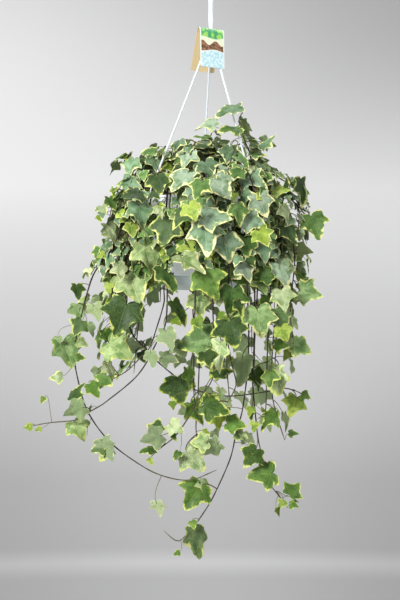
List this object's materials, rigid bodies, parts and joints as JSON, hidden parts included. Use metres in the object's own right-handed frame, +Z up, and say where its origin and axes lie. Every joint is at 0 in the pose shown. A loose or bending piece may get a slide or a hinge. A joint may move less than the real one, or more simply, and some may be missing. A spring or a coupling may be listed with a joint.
{
  "type": "ivy in a hanging pot",
  "caption": "Variegated trailing ivy in a white hanging pot with its saucer, three-strand hanger, hook and a folded care card over the shank.",
  "frame": {"origin": "inner crown of the hook, where it hangs on a rod or nail", "axes": "+Z up along the plumb line, +X to the right and +Y away as seen from the front; the hook is edge-on from the front"},
  "size_m": [0.4382, 0.3624, 0.8509],
  "materials": {
    "white_plastic": "satin",
    "grey_plastic": "satin",
    "printed_card": "satin print",
    "potting_soil": "rough and crumbly",
    "ivy": "satin leaf, cream margin"
  },
  "bodies": {
    "root": {"hook": "white_plastic", "strand_left": "white_plastic", "strand_right": "white_plastic", "strand_rear": "white_plastic", "care_card": "printed_card", "pot": "white_plastic", "saucer": "grey_plastic", "soil": "potting_soil", "shoot_back_1": "ivy", "shoot_back_2": "ivy", "shoot_back_3": "ivy", "shoot_back_4": "ivy", "shoot_back_5": "ivy", "shoot_back_6": "ivy", "shoot_front": "ivy", "shoot_front_left": "ivy", "shoot_front_right": "ivy", "shoot_left": "ivy", "shoot_left_front": "ivy", "shoot_left_high": "ivy", "shoot_left_low": "ivy", "shoot_middle": "ivy", "shoot_right": "ivy", "shoot_right_high": "ivy", "shoot_top": "ivy", "stem_back_1": "ivy", "stem_back_10": "ivy", "stem_back_11": "ivy", "stem_back_12": "ivy", "stem_back_2": "ivy", "stem_back_3": "ivy", "stem_back_4": "ivy", "stem_back_5": "ivy", "stem_back_6": "ivy", "stem_back_7": "ivy", "stem_back_8": "ivy", "stem_back_9": "ivy", "stem_crossing_left": "ivy", "stem_crossing_right": "ivy", "stem_curtain": "ivy", "stem_left": "ivy", "stem_left_front": "ivy", "stem_long_arc": "ivy", "stem_long_left": "ivy", "stem_lowest": "ivy", "stem_middle": "ivy", "stem_middle_long": "ivy", "stem_middle_right": "ivy", "stem_right": "ivy", "stem_right_front": "ivy", "stem_right_long": "ivy", "stem_right_short": "ivy", "stem_right_side": "ivy"}
  },
  "joints": []
}
